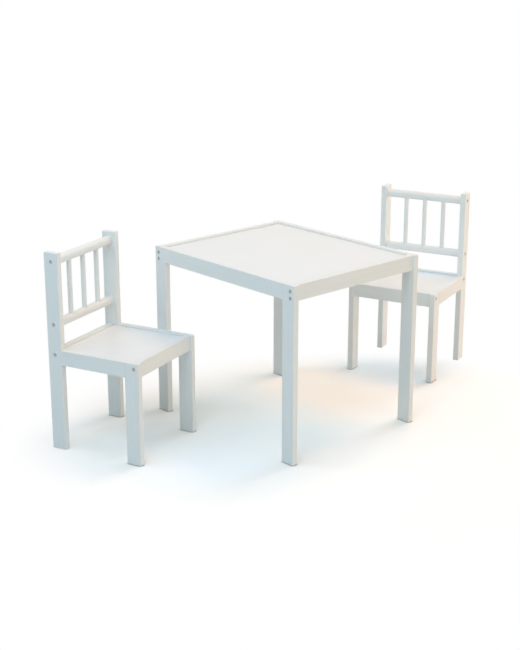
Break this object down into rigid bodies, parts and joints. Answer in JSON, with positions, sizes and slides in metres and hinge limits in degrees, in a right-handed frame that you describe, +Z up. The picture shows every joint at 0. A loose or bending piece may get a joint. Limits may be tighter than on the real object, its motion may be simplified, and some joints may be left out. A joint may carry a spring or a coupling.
{
  "type": "kids table and chairs",
  "caption": "Low painted-wood play table with an inset top, and matching small chairs with spindle backs and inset seats, standing beside it.",
  "frame": {"origin": "on the floor, under the middle of the whole set's box: table and both chairs as they stand at rest", "axes": "+X along the table's long sides, towards its right; +Y along its short sides, from the near chair to the far chair; +Z up"},
  "size_m": [0.6646, 1.4922, 0.58],
  "materials": {
    "frame_paint": "solid wood with a satin white paint that shows a faint grain",
    "panel_paint": "fibreboard with a smooth satin white paint",
    "steel": "dull zinc-plated",
    "beech": "bare wood, unpainted"
  },
  "bodies": {
    "table": {"table_leg_back_right": "frame_paint", "table_leg_back_left": "frame_paint", "table_leg_front_right": "frame_paint", "table_leg_front_left": "frame_paint", "table_rail_back": "frame_paint", "table_rail_front": "frame_paint", "table_rail_right": "frame_paint", "table_rail_left": "frame_paint", "table_top": "panel_paint", "table_bolts": "steel", "table_barrel_nuts": "steel", "table_dowels": "beech"},
    "near_chair": {"near_chair_post_right": "frame_paint", "near_chair_post_left": "frame_paint", "near_chair_front_leg_right": "frame_paint", "near_chair_front_leg_left": "frame_paint", "near_chair_side_rail_right": "frame_paint", "near_chair_side_rail_left": "frame_paint", "near_chair_front_rail": "frame_paint", "near_chair_rear_rail": "frame_paint", "near_chair_seat": "panel_paint", "near_chair_top_bar": "frame_paint", "near_chair_lower_bar": "frame_paint", "near_chair_spindle_left": "frame_paint", "near_chair_spindle_middle": "frame_paint", "near_chair_spindle_right": "frame_paint", "near_chair_bolts": "steel", "near_chair_barrel_nuts": "steel", "near_chair_dowels": "beech"},
    "far_chair": {"far_chair_post_right": "frame_paint", "far_chair_post_left": "frame_paint", "far_chair_front_leg_right": "frame_paint", "far_chair_front_leg_left": "frame_paint", "far_chair_side_rail_right": "frame_paint", "far_chair_side_rail_left": "frame_paint", "far_chair_front_rail": "frame_paint", "far_chair_rear_rail": "frame_paint", "far_chair_seat": "panel_paint", "far_chair_top_bar": "frame_paint", "far_chair_lower_bar": "frame_paint", "far_chair_spindle_left": "frame_paint", "far_chair_spindle_middle": "frame_paint", "far_chair_spindle_right": "frame_paint", "far_chair_bolts": "steel", "far_chair_barrel_nuts": "steel", "far_chair_dowels": "beech"}
  },
  "joints": [
    {"name": "near_chair_push", "type": "slide", "parent": "table", "child": "near_chair", "axis": [0.9409, 0.3387, 0], "range_m": [-0.2, 0.3]},
    {"name": "far_chair_push", "type": "slide", "parent": "table", "child": "far_chair", "axis": [0.3387, -0.9409, 0], "range_m": [-0.2, 0.44]}
  ]
}
